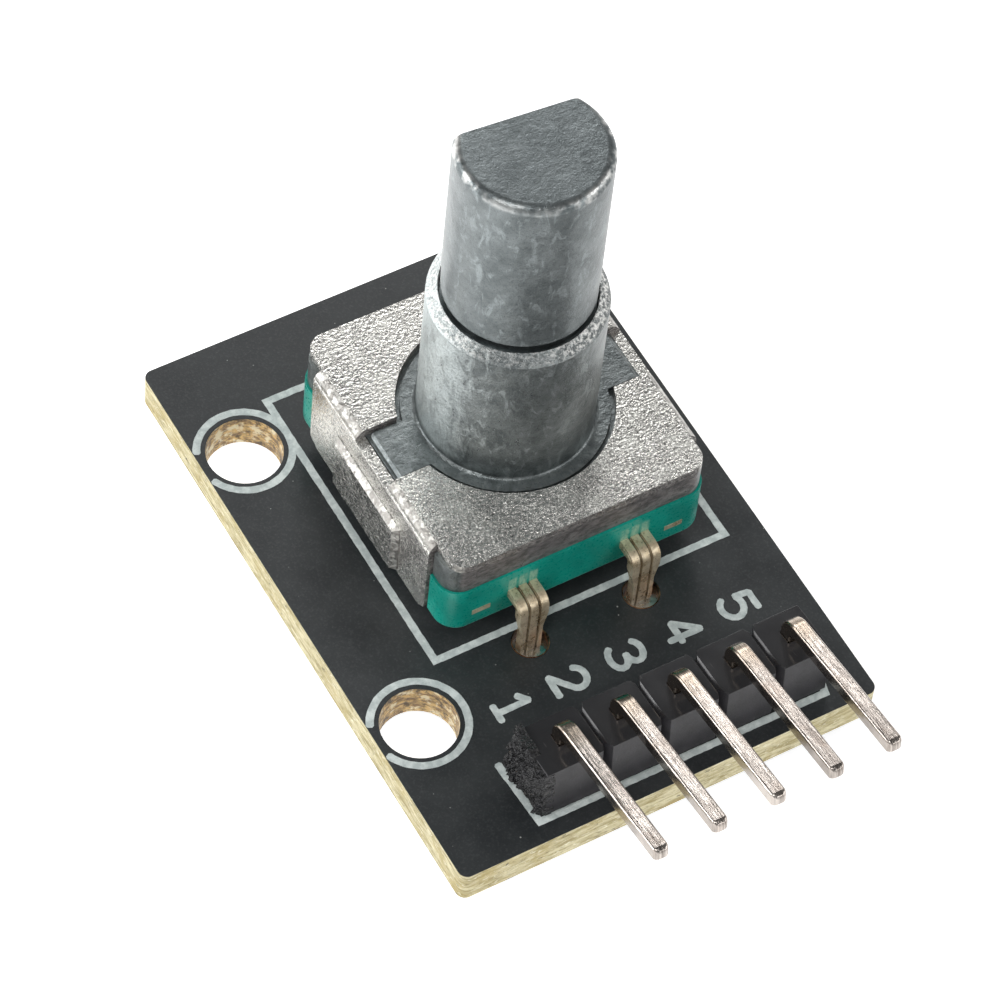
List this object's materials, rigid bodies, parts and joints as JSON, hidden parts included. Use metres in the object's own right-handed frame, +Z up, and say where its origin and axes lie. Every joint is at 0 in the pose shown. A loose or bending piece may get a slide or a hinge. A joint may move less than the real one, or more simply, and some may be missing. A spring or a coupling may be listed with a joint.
{
  "type": "rotary encoder",
  "caption": "Rotary encoder with a push-switch shaft on a small breakout board with a right-angle pin header and side mounting holes.",
  "frame": {"origin": "on the shaft axis at the top face of the encoder's metal cover, its panel seating face", "axes": "+Z up along the shaft, +X right along the board's short side with the screw holes on the -X side, +Y to the back, so the pin header points along -Y"},
  "size_m": [0.0184, 0.031, 0.0242],
  "materials": {
    "solder_mask": "black solder mask over tan glass laminate",
    "copper": "tinned copper",
    "header_plastic": "black moulded",
    "tinned_pin": "tin plated",
    "solder": "bright solder",
    "nickel_sheet": "nickel-plated, pebbled",
    "cast_zinc": "die-cast zinc alloy",
    "base_plastic": "teal-green moulded",
    "bronze": "phosphor bronze",
    "spring_steel": "stainless spring strip",
    "rotor_plastic": "natural acetal",
    "chip_ceramic": "glazed black chip"
  },
  "bodies": {
    "board_assembly": {"circuit_board": "solder_mask", "plated_holes": "copper", "header_strip": "header_plastic", "header_solder": "solder", "encoder_solder": "solder", "metal_cover": "nickel_sheet", "bushing": "cast_zinc", "contact_base": "base_plastic", "lead_frame_stubs": "bronze", "detent_spring": "spring_steel", "switch_dome": "spring_steel", "resistor_bodies": "chip_ceramic", "resistor_caps": "solder", "resistor_solder": "solder", "contact_a": "bronze", "contact_common": "bronze", "contact_b": "bronze", "switch_contact_centre": "bronze", "switch_contact_rim": "bronze", "header_pin_1": "tinned_pin", "header_pin_2": "tinned_pin", "header_pin_3": "tinned_pin", "header_pin_4": "tinned_pin", "header_pin_5": "tinned_pin"},
    "rotor_carrier": {"rotor": "rotor_plastic", "rotor_wiper": "bronze"},
    "knob_shaft": {"shaft": "cast_zinc", "retaining_clip": "spring_steel"},
    "push_plunger": {"switch_plunger": "rotor_plastic"}
  },
  "joints": [
    {"name": "shaft_spin", "type": "hinge", "parent": "board_assembly", "child": "rotor_carrier", "pos_m": [0, 0, 0], "axis": [0, 0, 1], "continuous": true},
    {"name": "shaft_push", "type": "slide", "parent": "rotor_carrier", "child": "knob_shaft", "axis": [0, 0, -1], "range_m": [0, 0.0005], "stiffness_N_per_m": 8000},
    {"name": "plunger_push", "type": "slide", "parent": "board_assembly", "child": "push_plunger", "axis": [0, 0, -1], "range_m": [0, 0.0005], "deforming": ["switch_dome"]}
  ],
  "couplings": [
    {"joint": "plunger_push", "follows": "shaft_push", "ratio": 1}
  ]
}
